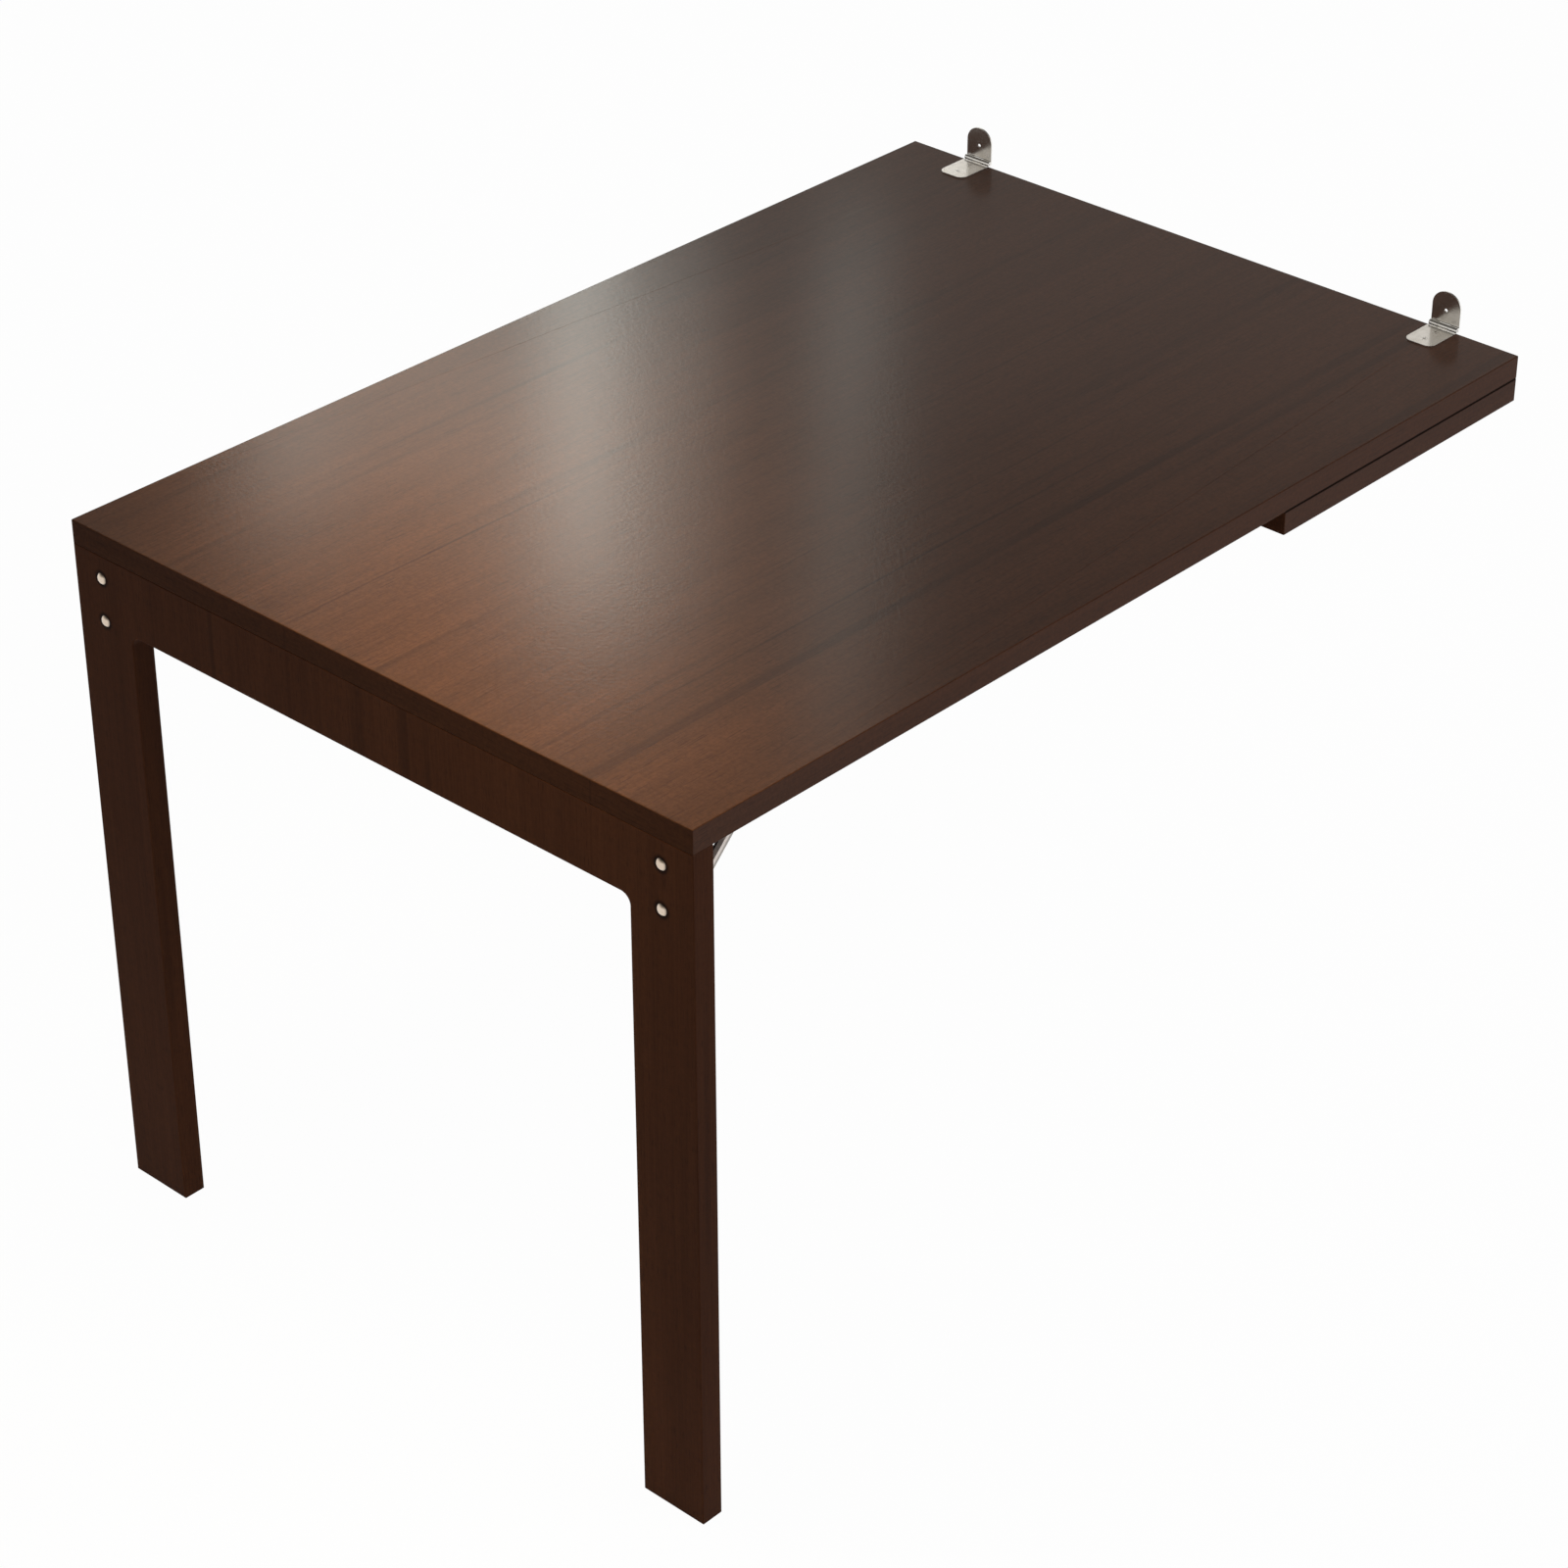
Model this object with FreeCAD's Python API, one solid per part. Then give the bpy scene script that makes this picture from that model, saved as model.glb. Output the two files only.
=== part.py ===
import FreeCAD, Part
import math
import os

# Wall mounted drop leaf table, in millimetres.
# X runs across the table to the right, Y runs from the leg end to the wall, and Z is up.
# The origin is on the floor, midway across the table and midway between the wall and the bolt heads.
# The table stands open: the top lies on the wall shelf, and the leg frame is down.

# Whole table
overall_length = 1200.0          # wall to the leg end of the top
table_width = 800.0
table_height = 755.0             # floor to the upper face of the top
top_thickness = 25.0
shelf_thickness = 25.0
edge_round = 1.0                 # softened edges of every board
folded_foot_to_shelf = 57.0      # gap between the folded feet and the front of the shelf

# Leg frame, cut as one U-shaped board
leg_board_thickness = 25.0
leg_width = 75.0
apron_height = 72.0
inner_corner_radius = 11.0

# Wall hinges
hinge_width = 34.0
hinge_side_distance = 91.0       # side edge of the top to the middle of the hinge
hinge_leaf_thickness = 1.5
hinge_pin_radius = 1.2
hinge_pin_peen = 0.4             # how far the pin's ends stand out of the knuckles
knuckle_standoff = 0.3           # between a knuckle and the face behind it
knuckle_gap = 0.3                # between neighbouring knuckles
wall_leaf_notch_height = 1.8     # hinge axis to the lowest steel of the wall leaf between its knuckles
middle_knuckle_width = 12.0
swing_margin = 0.25              # how far the end of the top stays behind the hinge axis
wall_leaf_height = 40.0          # upper face of the top to the tip of the leaf
wall_leaf_corner_radius = 16.0
wall_leaf_hole_radius = 1.75
wall_leaf_hole_height = 20.0     # upper face of the top to the screw hole
table_leaf_length = 50.0         # wall to the tip of the leaf
table_leaf_corner_radius = 9.0
first_hinge_screw = 17.0         # wall to the first screw of the table leaf
hinge_screw_spacing = 20.0

# Folding leg brackets
pivot_depth = 7.0                # leg pivot to the leg's rear face, and to the underside of the top
channel_wall = 2.0               # steel of the leg channel and of the slotted track
fold_clearance = 0.5             # leg channel to the base of the track as it turns
track_end_clearance = 1.0        # round end of the track to the leg board as it turns
side_clearance = 0.4             # between the leg channel and the track
nut_side_room = 2.2              # between a nut's corners and the ears of the leg channel
pivot_pin_radius = 2.0
pivot_head_radius = 3.4
pivot_head_height = 1.2
stay_pin_radius = 2.0
bolt_to_stay_pin = 9.5           # lower bolt to the stay's lower pin
channel_end_wall = 6.0           # lower end of the leg channel past the stay's pin
stay_angle = 45.0                # degrees above level when the leg is down
stay_width = 7.3
stay_thickness = 6.5
stay_boss_clearance = 0.8        # stay's round ends to the base of either channel
slot_clearance = 0.3             # stud to the walls of the slot, and to the inner faces of the ears
track_end_wall = 6.0             # end of the track past the slot
track_screw_spacing = 70.0
first_track_screw = 25.0         # leg pivot to the first screw of the track

# Coach bolts through the legs, and their nuts
first_bolt_drop = 24.5           # underside of the top to the upper bolt
bolt_spacing = 45.5
bolt_radius = 2.5
bolt_hole_clearance = 0.25
bolt_head_radius = 6.0
bolt_head_height = 2.8
bolt_neck_depth = 3.5            # square neck under the head
bolt_end_length = 1.0            # end of the bolt past its nut
nut_across_flats = 8.0
nut_height = 4.0

# Brackets under the wall shelf
shelf_bracket_inset = 190.0      # side edge of the shelf to the middle of the bracket
shelf_bracket_width = 40.0
shelf_bracket_steel = 4.0
shelf_bracket_drop = 120.0       # underside of the shelf to the foot of the wall arm
shelf_arm_inset = 60.0           # front edge of the shelf to the tip of the shelf arm
web_margin = 12.0                # tip of either arm to the end of the web
arm_corner_radius = 6.0
bracket_hole_spacing = 24.0      # across the arm
bracket_hole_margin = 20.0       # first and last holes to the ends of an arm
wall_hole_radius = 2.75

# Screws
running_clearance = 0.05         # round a pin in its bore, and round a screw in its hole
hinge_screw_head_radius = 3.4
hinge_screw_radius = 1.75
hinge_screw_length = 16.0
track_screw_head_radius = 3.8
track_screw_radius = 1.9
track_screw_length = 18.0
shelf_screw_head_radius = 4.2
shelf_screw_head_height = 2.4
shelf_screw_radius = 2.1
shelf_screw_length = 22.0
recess_arm = 0.62                # cross recess as a share of the head's radius
recess_width = 0.9
recess_depth = 0.8
screw_taper = 2.0                # length of the pointed end, in radii of the shank
screw_tip_radius = 0.2

# Places that follow from the sizes above
wall_y = (overall_length + bolt_head_height) / 2
leg_end_y = wall_y - overall_length
side_x = table_width / 2
top_z = table_height
underside_z = top_z - top_thickness
shelf_bottom_z = underside_z - shelf_thickness

knuckle_radius = hinge_pin_radius + running_clearance + hinge_leaf_thickness
hinge_axis_offset = knuckle_radius + knuckle_standoff
hinge_axis_y = wall_y - hinge_axis_offset
hinge_axis_z = top_z + hinge_axis_offset
board_end_y = hinge_axis_y - swing_margin
hinge_x = side_x - hinge_side_distance
outer_knuckle_width = (hinge_width - middle_knuckle_width) / 2 - knuckle_gap

leg_rear_y = leg_end_y + leg_board_thickness
leg_length = underside_z
shelf_depth = board_end_y - leg_rear_y - leg_length - folded_foot_to_shelf
shelf_front_y = board_end_y - shelf_depth

leg_axis_y = leg_rear_y + pivot_depth
leg_axis_z = underside_z - pivot_depth
bracket_x = side_x - leg_width / 2
bolt_heights = [underside_z - first_bolt_drop - row * bolt_spacing for row in range(2)]
stay_reach = first_bolt_drop + bolt_spacing + bolt_to_stay_pin - pivot_depth
stay_length = stay_reach / math.sin(math.radians(stay_angle))
stay_pin_z = leg_axis_z - stay_reach
stay_stud_y = leg_axis_y + stay_reach / math.tan(math.radians(stay_angle))

channel_inner = nut_across_flats / math.cos(math.radians(30)) / 2 + nut_side_room
channel_outer = channel_inner + channel_wall
channel_ear_radius = pivot_depth - channel_wall - fold_clearance
track_inner = channel_outer + side_clearance
track_outer = track_inner + channel_wall
track_ear_radius = pivot_depth - track_end_clearance
stay_boss_radius = pivot_depth - channel_wall - stay_boss_clearance
stay_boss_half = channel_inner - side_clearance
slot_half = stay_pin_radius + slot_clearance
slot_end_y = leg_axis_y + stay_reach + stay_length
track_end_y = slot_end_y + slot_half + track_end_wall
track_screw_ys = [leg_axis_y + first_track_screw + step * track_screw_spacing for step in range(3)]

shelf_bracket_x = side_x - shelf_bracket_inset
shelf_arm_tip_y = shelf_front_y + shelf_arm_inset
wall_arm_foot_z = shelf_bottom_z - shelf_bracket_drop
wall_hole_heights = [wall_arm_foot_z + bracket_hole_margin,
                     shelf_bottom_z - shelf_bracket_steel - bracket_hole_margin]
shelf_screw_ys = [shelf_arm_tip_y + bracket_hole_margin,
                  wall_y - shelf_bracket_steel - bracket_hole_margin]
hinge_screw_ys = [wall_y - first_hinge_screw - step * hinge_screw_spacing for step in range(2)]

sides = {"left": -1, "right": 1}
along_x = FreeCAD.Vector(1, 0, 0)
along_y = FreeCAD.Vector(0, 1, 0)
along_z = FreeCAD.Vector(0, 0, 1)
past = 1.0                       # how far a cutter runs past the face that it cuts


def point(x, y, z):
    return FreeCAD.Vector(x, y, z)


def block(x0, x1, y0, y1, z0, z1):
    return Part.makeBox(x1 - x0, y1 - y0, z1 - z0, point(x0, y0, z0))


def rod_x(x0, x1, y, z, radius):
    return Part.makeCylinder(radius, x1 - x0, point(x0, y, z), along_x)


def rod_y(x, y0, y1, z, radius):
    return Part.makeCylinder(radius, y1 - y0, point(x, y0, z), along_y)


def join(first, *others):
    solid = first.fuse(list(others)).removeSplitter()
    return solid.Solids[0]


def moved(shape, x=0.0, y=0.0, z=0.0):
    copy = shape.copy()
    copy.translate(point(x, y, z))
    return copy


def board(x0, x1, y0, y1, z0, z1):
    plain = block(x0, x1, y0, y1, z0, z1)
    return plain.makeFillet(edge_round, plain.Edges)


def rounded_edges(solid, direction, radius, where):
    """Round the straight edges along a direction whose middle passes the test."""
    chosen = []
    for edge in solid.Edges:
        if len(edge.Vertexes) < 2:
            continue
        span = edge.Vertexes[1].Point - edge.Vertexes[0].Point
        if span.cross(direction).Length < 1e-6 * span.Length and where(edge.CenterOfMass):
            chosen.append(edge)
    return solid.makeFillet(radius, chosen)


def dome(radius, height):
    """Spherical cap on the XY plane, its crown towards +Z."""
    sphere_radius = (radius ** 2 + height ** 2) / (2 * height)
    ball = Part.makeSphere(sphere_radius, point(0, 0, height - sphere_radius))
    return ball.common(block(-radius, radius, -radius, radius, 0, height))


def turned(shape, direction):
    """Turn a shape built along +Z so that it runs along a direction."""
    copy = shape.copy()
    copy.Placement = FreeCAD.Placement(point(0, 0, 0), FreeCAD.Rotation(along_z, direction))
    return copy


def countersunk_screw(head_radius, head_height, shank_radius, length):
    """Wood screw with its head's flat face at the origin and its tip towards +Z."""
    taper = screw_taper * shank_radius
    head = Part.makeCone(head_radius, shank_radius, head_height)
    shank = Part.makeCylinder(shank_radius, length - head_height - taper, point(0, 0, head_height), along_z)
    end = Part.makeCone(shank_radius, screw_tip_radius, taper, point(0, 0, length - taper), along_z)
    arm = recess_arm * head_radius
    half = recess_width / 2
    cross = block(-arm, arm, -half, half, -past, recess_depth)
    cross = cross.fuse(block(-half, half, -arm, arm, -past, recess_depth))
    return join(head, shank, end).cut(cross).Solids[0]


def screw_hole(head_radius, head_height, shank_radius, length):
    """Room for a countersunk screw, with the running clearance all round."""
    gap = running_clearance
    mouth = Part.makeCylinder(head_radius + gap, past, point(0, 0, -past), along_z)
    head = Part.makeCone(head_radius + gap, shank_radius + gap, head_height)
    shank = Part.makeCylinder(shank_radius + gap, length + gap)
    return mouth.fuse([head, shank])


def hinge_screw_places():
    """Heads of the table leaves' screws, on both hinges."""
    face_z = top_z + hinge_leaf_thickness
    return [point(sign * hinge_x, y, face_z) for sign in sides.values() for y in hinge_screw_ys]


def track_screw_places():
    """Heads of the tracks' screws, on both tracks."""
    face_z = underside_z - channel_wall
    return [point(sign * bracket_x, y, face_z) for sign in sides.values() for y in track_screw_ys]


def shelf_screw_places():
    """Heads of the screws that hold the shelf on its brackets."""
    face_z = shelf_bottom_z - shelf_bracket_steel
    places = []
    for sign in sides.values():
        for across in (-1, 1):
            x = sign * shelf_bracket_x + across * bracket_hole_spacing / 2
            places += [point(x, y, face_z) for y in shelf_screw_ys]
    return places


def hinge_screw_shape(maker):
    shape = maker(hinge_screw_head_radius, hinge_leaf_thickness, hinge_screw_radius, hinge_screw_length)
    return turned(shape, point(0, 0, -1))


def track_screw_shape(maker):
    return maker(track_screw_head_radius, channel_wall, track_screw_radius, track_screw_length)


def shelf_screw_shape(maker):
    return maker(shelf_screw_head_radius, shelf_screw_head_height, shelf_screw_radius, shelf_screw_length)


def at_places(shape, places):
    return [moved(shape, p.x, p.y, p.z) for p in places]


def tabletop():
    top = board(-side_x, side_x, leg_end_y, board_end_y, underside_z, top_z)
    holes = at_places(hinge_screw_shape(screw_hole), hinge_screw_places())
    holes += at_places(track_screw_shape(screw_hole), track_screw_places())
    return top.cut(holes)


def wall_shelf():
    shelf = board(-side_x, side_x, shelf_front_y, board_end_y, shelf_bottom_z, underside_z)
    return shelf.cut(at_places(shelf_screw_shape(screw_hole), shelf_screw_places()))


def shelf_bracket(x):
    """Steel angle with a web: one arm on the wall, the other under the shelf."""
    half = shelf_bracket_width / 2
    steel = shelf_bracket_steel
    wall_arm = block(-half, half, wall_y - steel, wall_y, wall_arm_foot_z, shelf_bottom_z)
    shelf_arm = block(-half, half, shelf_arm_tip_y, wall_y, shelf_bottom_z - steel, shelf_bottom_z)
    wall_arm = rounded_edges(wall_arm, along_y, arm_corner_radius, lambda c: c.z < wall_arm_foot_z + past)
    shelf_arm = rounded_edges(shelf_arm, along_z, arm_corner_radius, lambda c: c.y < shelf_arm_tip_y + past)
    heel_y = wall_y - steel
    heel_z = shelf_bottom_z - steel
    outline = [point(-steel / 2, heel_y, heel_z),
               point(-steel / 2, heel_y, wall_arm_foot_z + web_margin),
               point(-steel / 2, shelf_arm_tip_y + web_margin, heel_z)]
    web = Part.Face(Part.makePolygon(outline + outline[:1])).extrude(point(steel, 0, 0))
    bracket = moved(join(wall_arm, shelf_arm, web), x)
    holes = []
    for across in (-1, 1):
        hole_x = x + across * bracket_hole_spacing / 2
        for z in wall_hole_heights:
            holes.append(rod_y(hole_x, wall_y - steel - past, wall_y + past, z, wall_hole_radius))
    holes += at_places(shelf_screw_shape(screw_hole), shelf_screw_places())
    return bracket.cut(holes).Solids[0]


def shelf_bracket_screws():
    return at_places(shelf_screw_shape(countersunk_screw), shelf_screw_places())


def outer_knuckles():
    half = hinge_width / 2
    inner = half - outer_knuckle_width
    return [rod_x(-half, -inner, hinge_axis_y, hinge_axis_z, knuckle_radius),
            rod_x(inner, half, hinge_axis_y, hinge_axis_z, knuckle_radius)]


def hinge_bore():
    half = hinge_width / 2 + past
    return rod_x(-half, half, hinge_axis_y, hinge_axis_z, hinge_pin_radius + running_clearance)


def wall_hinge_leaf(x):
    """Upright leaf: arched plate on the wall, with the two outer knuckles."""
    half = hinge_width / 2
    tip_z = top_z + wall_leaf_height
    plate = block(-half, half, wall_y - hinge_leaf_thickness, wall_y, hinge_axis_z, tip_z)
    plate = rounded_edges(plate, along_y, wall_leaf_corner_radius, lambda c: c.z > tip_z - past)
    notch_half = half - outer_knuckle_width
    notch_z = hinge_axis_z + wall_leaf_notch_height
    notches = [block(-notch_half, notch_half, hinge_axis_y, wall_y + past, hinge_axis_z - past, notch_z),
               rod_x(-notch_half, notch_half, hinge_axis_y, hinge_axis_z, knuckle_radius + knuckle_standoff)]
    hole = rod_y(0, hinge_axis_y, wall_y + past, top_z + wall_leaf_hole_height, wall_leaf_hole_radius)
    leaf = join(plate.cut(notches), *outer_knuckles()).cut([hinge_bore(), hole])
    return moved(leaf.Solids[0], x)


def table_hinge_leaf(x):
    """Flat leaf: plate on the top, with the middle knuckle."""
    half = hinge_width / 2
    tip_y = wall_y - table_leaf_length
    plate = block(-half, half, tip_y, hinge_axis_y, top_z, top_z + hinge_leaf_thickness)
    plate = rounded_edges(plate, along_z, table_leaf_corner_radius, lambda c: c.y < tip_y + past)
    middle = middle_knuckle_width / 2
    notch_y = hinge_axis_y - knuckle_radius - knuckle_standoff
    over_z = top_z + hinge_leaf_thickness + past
    plate = plate.cut([block(-half - past, -middle, notch_y, wall_y, top_z - past, over_z),
                       block(middle, half + past, notch_y, wall_y, top_z - past, over_z)])
    knuckle = rod_x(-middle, middle, hinge_axis_y, hinge_axis_z, knuckle_radius)
    leaf = moved(join(plate, knuckle).cut(hinge_bore()).Solids[0], x)
    return leaf.cut(at_places(hinge_screw_shape(screw_hole), hinge_screw_places())).Solids[0]


def wall_hinge_pin(x):
    half = hinge_width / 2 + hinge_pin_peen
    pin = rod_x(-half, half, hinge_axis_y, hinge_axis_z, hinge_pin_radius)
    return moved(pin.makeChamfer(hinge_pin_peen / 2, [e for e in pin.Edges if e.Closed]), x)


def table_hinge_screws():
    return at_places(hinge_screw_shape(countersunk_screw), hinge_screw_places())


def leg_frame_panel():
    """Two legs and the apron between them, cut from one board."""
    inner_x = side_x - leg_width
    apron_z = underside_z - apron_height
    centre_x = inner_x - inner_corner_radius
    centre_z = apron_z - inner_corner_radius
    bend = inner_corner_radius * math.sqrt(0.5)

    def at(x, z):
        return point(x, leg_end_y, z)

    def line(start, end):
        return Part.LineSegment(start, end).toShape()

    def corner(sign):
        ends = [at(sign * inner_x, centre_z), at(sign * centre_x, apron_z)]
        middle = at(sign * (centre_x + bend), centre_z + bend)
        return Part.Arc(ends[0], middle, ends[1]).toShape()

    outline = [line(at(-side_x, 0), at(-side_x, underside_z)),
               line(at(-side_x, underside_z), at(side_x, underside_z)),
               line(at(side_x, underside_z), at(side_x, 0)),
               line(at(side_x, 0), at(inner_x, 0)),
               line(at(inner_x, 0), at(inner_x, centre_z)),
               corner(1),
               line(at(centre_x, apron_z), at(-centre_x, apron_z)),
               corner(-1),
               line(at(-inner_x, centre_z), at(-inner_x, 0)),
               line(at(-inner_x, 0), at(-side_x, 0))]
    face = Part.Face(Part.Wire(Part.__sortEdges__(outline)))
    panel = face.extrude(point(0, leg_board_thickness, 0))
    faces_y = (leg_end_y, leg_rear_y)
    rims = [e for e in panel.Edges if min(abs(e.CenterOfMass.y - y) for y in faces_y) < edge_round / 10]
    panel = panel.makeFillet(edge_round, rims)
    return panel.cut(bolt_holes(leg_end_y, leg_rear_y) + neck_pockets()).Solids[0]


def bolt_places():
    return [point(sign * bracket_x, leg_end_y, z) for sign in sides.values() for z in bolt_heights]


def bolt_holes(start_y, end_y):
    radius = bolt_radius + bolt_hole_clearance
    return [rod_y(p.x, start_y - past, end_y + past, p.z, radius) for p in bolt_places()]


def neck_pockets():
    half = bolt_radius + running_clearance
    depth = bolt_neck_depth + running_clearance
    pocket = block(-half, half, -past, depth, -half, half)
    return at_places(pocket, bolt_places())


def leg_bolt(place):
    """Coach bolt: domed head, square neck, round shank."""
    head = moved(turned(dome(bolt_head_radius, bolt_head_height), point(0, -1, 0)), place.x, place.y, place.z)
    neck = block(-bolt_radius, bolt_radius, 0, bolt_neck_depth, -bolt_radius, bolt_radius)
    end_y = leg_rear_y + channel_wall + nut_height + bolt_end_length
    shank = rod_y(place.x, place.y, end_y, place.z, bolt_radius)
    return join(head, moved(neck, place.x, place.y, place.z), shank)


def leg_bolts():
    return [leg_bolt(place) for place in bolt_places()]


def leg_bolt_nuts():
    """Hexagon nuts on the base of the leg channels."""
    corner_radius = nut_across_flats / math.cos(math.radians(30)) / 2
    corners = []
    for step in range(6):
        angle = math.radians(60 * step)
        corners.append(point(corner_radius * math.cos(angle), 0, corner_radius * math.sin(angle)))
    hexagon = Part.Face(Part.makePolygon(corners + corners[:1]))
    blank = hexagon.extrude(point(0, nut_height, 0))
    nut = blank.cut(rod_y(0, -past, nut_height + past, 0, bolt_radius + running_clearance))
    seat_y = leg_rear_y + channel_wall
    return [moved(nut, p.x, seat_y, p.z) for p in bolt_places()]


def leg_channel(x):
    """Steel channel bolted to the rear of a leg, open towards the wall."""
    foot_z = stay_pin_z - channel_end_wall
    head_z = leg_axis_z + channel_ear_radius
    lip_y = leg_axis_y + channel_ear_radius
    base = block(-channel_outer, channel_outer, leg_rear_y, leg_rear_y + channel_wall, foot_z, head_z)
    ears = []
    for inner, outer in ((-channel_outer, -channel_inner), (channel_inner, channel_outer)):
        ear = block(inner, outer, leg_rear_y, lip_y, foot_z, head_z)
        ears.append(rounded_edges(ear, along_x, channel_ear_radius, lambda c: c.y > lip_y - past))
    bores = [rod_x(-channel_outer - past, channel_outer + past, leg_axis_y, leg_axis_z,
                   pivot_pin_radius + running_clearance),
             rod_x(-channel_outer - past, channel_outer + past, leg_axis_y, stay_pin_z,
                   stay_pin_radius + running_clearance)]
    channel = moved(join(base, *ears).cut(bores).Solids[0], x)
    return channel.cut(bolt_holes(leg_rear_y, leg_rear_y + channel_wall)).Solids[0]


def stay_pin(x):
    """Plain pin through the leg channel, flush with its ears, on which the stay turns."""
    return rod_x(x - channel_outer, x + channel_outer, leg_axis_y, stay_pin_z, stay_pin_radius)


def leg_track(x):
    """Slotted channel under the top: it carries the leg pivot, and the stay's stud runs in its slots."""
    start_y = leg_axis_y - track_ear_radius
    lip_z = leg_axis_z - track_ear_radius
    base = block(-track_outer, track_outer, start_y, track_end_y, underside_z - channel_wall, underside_z)
    ears = []
    for inner, outer in ((-track_outer, -track_inner), (track_inner, track_outer)):
        ear = block(inner, outer, start_y, track_end_y, lip_z, underside_z)
        ears.append(rounded_edges(ear, along_x, track_ear_radius, lambda c: c.z < lip_z + past))
    reach = track_outer + past
    cuts = [rod_x(-reach, reach, leg_axis_y, leg_axis_z, pivot_pin_radius + running_clearance),
            rod_x(-reach, reach, stay_stud_y, leg_axis_z, slot_half),
            rod_x(-reach, reach, slot_end_y, leg_axis_z, slot_half),
            block(-reach, reach, stay_stud_y, slot_end_y, leg_axis_z - slot_half, leg_axis_z + slot_half)]
    track = moved(join(base, *ears).cut(cuts).Solids[0], x)
    return track.cut(at_places(track_screw_shape(screw_hole), track_screw_places())).Solids[0]


def leg_track_screws():
    return at_places(track_screw_shape(countersunk_screw), track_screw_places())


def leg_pivot_pin(x):
    """Riveted pin with domed heads outside the ears of the track."""
    shank = rod_x(-track_outer, track_outer, leg_axis_y, leg_axis_z, pivot_pin_radius)
    heads = []
    for sign in (-1, 1):
        head = turned(dome(pivot_head_radius, pivot_head_height), point(sign, 0, 0))
        heads.append(moved(head, sign * track_outer, leg_axis_y, leg_axis_z))
    return moved(join(shank, *heads), x)


def leg_stay(x):
    """Straight bar with a cross tube at either end, sloping up from the leg to the track."""
    bar = block(-stay_width / 2, stay_width / 2, 0, stay_length, -stay_thickness / 2, stay_thickness / 2)
    tubes = [rod_x(-stay_boss_half, stay_boss_half, y, 0, stay_boss_radius) for y in (0, stay_length)]
    bore_radius = stay_pin_radius + running_clearance
    reach = stay_boss_half + past
    bores = [rod_x(-reach, reach, y, 0, bore_radius) for y in (0, stay_length)]
    stay = join(bar, *tubes).cut(bores).Solids[0]
    stay.rotate(point(0, 0, 0), along_x, stay_angle)
    return moved(stay, x, leg_axis_y, stay_pin_z)


def stay_stud(x):
    """Stud in the stay's upper tube; it stops short of the track's ears."""
    half = track_inner - slot_clearance
    return rod_x(x - half, x + half, stay_stud_y, leg_axis_z, stay_pin_radius)


def all_nodes():
    nodes = {"tabletop": [tabletop()],
             "wall_shelf": [wall_shelf()],
             "leg_frame_panel": [leg_frame_panel()],
             "shelf_bracket_screws": shelf_bracket_screws(),
             "table_hinge_screws": table_hinge_screws(),
             "leg_track_screws": leg_track_screws(),
             "leg_bolts": leg_bolts(),
             "leg_bolt_nuts": leg_bolt_nuts()}
    for side, sign in sides.items():
        nodes["shelf_bracket_" + side] = [shelf_bracket(sign * shelf_bracket_x)]
        nodes["wall_hinge_leaf_" + side] = [wall_hinge_leaf(sign * hinge_x)]
        nodes["table_hinge_leaf_" + side] = [table_hinge_leaf(sign * hinge_x)]
        nodes["wall_hinge_pin_" + side] = [wall_hinge_pin(sign * hinge_x)]
        nodes["leg_channel_" + side] = [leg_channel(sign * bracket_x)]
        nodes["leg_track_" + side] = [leg_track(sign * bracket_x)]
        nodes["leg_pivot_pin_" + side] = [leg_pivot_pin(sign * bracket_x)]
        nodes["leg_stay_" + side] = [leg_stay(sign * bracket_x)]
        nodes["leg_stay_pin_" + side] = [stay_pin(sign * bracket_x)]
        nodes["leg_stay_stud_" + side] = [stay_stud(sign * bracket_x)]
    return nodes


os.makedirs("parts", exist_ok=True)
for name, solids in all_nodes().items():
    shape = solids[0] if len(solids) == 1 else Part.makeCompound(solids)
    shape.exportStep("parts/" + name + ".step")
    print(name, "solids", len(shape.Solids), "volume", round(shape.Volume, 1), "valid", shape.isValid())
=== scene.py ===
import bpy
import math
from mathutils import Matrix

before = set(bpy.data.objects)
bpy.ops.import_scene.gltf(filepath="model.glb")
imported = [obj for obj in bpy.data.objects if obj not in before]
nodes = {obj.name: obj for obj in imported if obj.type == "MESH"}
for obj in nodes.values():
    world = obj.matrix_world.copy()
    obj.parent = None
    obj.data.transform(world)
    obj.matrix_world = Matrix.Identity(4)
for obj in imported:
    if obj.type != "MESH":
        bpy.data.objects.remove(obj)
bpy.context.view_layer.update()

quarterTurn = math.radians(90)
millimetre = 0.001
rightward = (1.0, 0.0, 0.0)
wallward = (0.0, 1.0, 0.0)
upward = (0.0, 0.0, 1.0)
acrossStay = (0.0, -1.0, 1.0)  # Z minus Y, square to the slanting bars and towards their upper side


# places on the CAD pieces at rest, in metres

def extent(nodeName, direction):
    places = [sum(part * share for part, share in zip(vertex.co, direction))
              for vertex in nodes[nodeName].data.vertices]
    return min(places), max(places)


def middle(nodeName, direction):
    return sum(extent(nodeName, direction)) / 2


# small helpers for shader nodes

def addNode(tree, kind, inputs=None, **settings):
    node = tree.nodes.new(kind)
    for name, value in settings.items():
        setattr(node, name, value)
    for name, value in (inputs or {}).items():
        if isinstance(value, bpy.types.NodeSocket):
            tree.links.new(value, node.inputs[name])
        else:
            node.inputs[name].default_value = value
    return node


def link(tree, sockets, values):
    for name, value in values.items():
        tree.links.new(value, sockets[name])


def maths(tree, operation, first, second=0.5, clamp=False):
    values = {0: first, 1: second}
    return addNode(tree, "ShaderNodeMath", values, operation=operation, use_clamp=clamp).outputs[0]


def plus(tree, first, second):
    return maths(tree, "ADD", first, second)


def minus(tree, first, second):
    return maths(tree, "SUBTRACT", first, second)


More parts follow.
